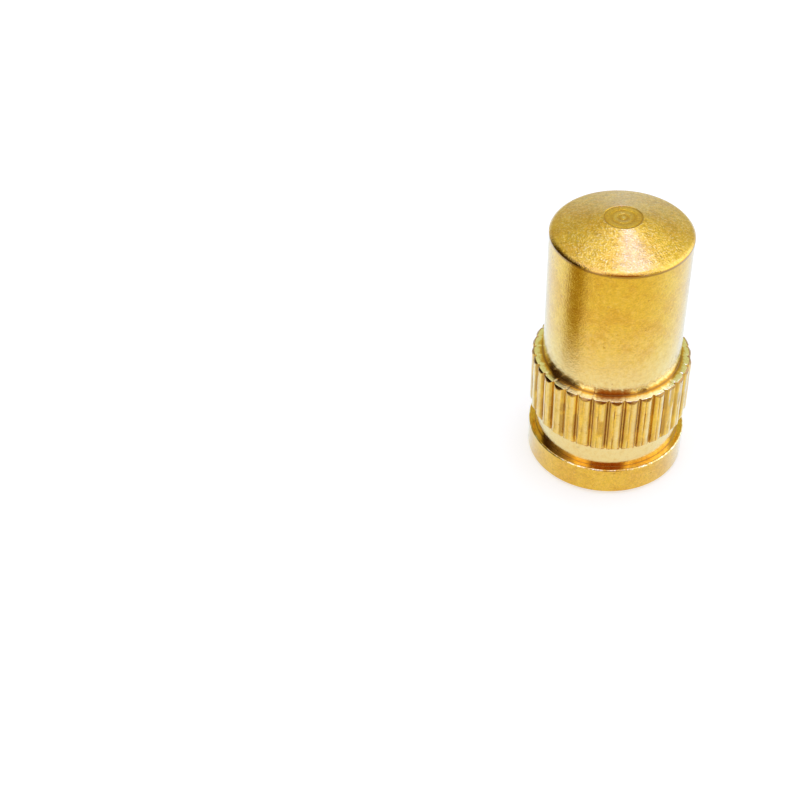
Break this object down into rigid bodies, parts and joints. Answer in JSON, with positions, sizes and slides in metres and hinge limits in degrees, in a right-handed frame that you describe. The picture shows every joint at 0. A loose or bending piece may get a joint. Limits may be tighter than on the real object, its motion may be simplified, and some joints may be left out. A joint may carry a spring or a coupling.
{
  "type": "threaded insert",
  "caption": "Blind round insert with a knurled band, a flanged countersunk mouth, a threaded bore and a coned closed end.",
  "frame": {"origin": "centre of the mouth face, the flat ring that the insert stands on", "axes": "+Z along the insert's axis, from the open mouth up to the closed, coned end; a crest of the knurl lies on +X"},
  "size_m": [0.006, 0.006, 0.0108],
  "materials": {
    "brass": "satin turned brass with fine tool marks and a polished knurl"
  },
  "bodies": {
    "root": {"insert": "brass"}
  },
  "joints": []
}
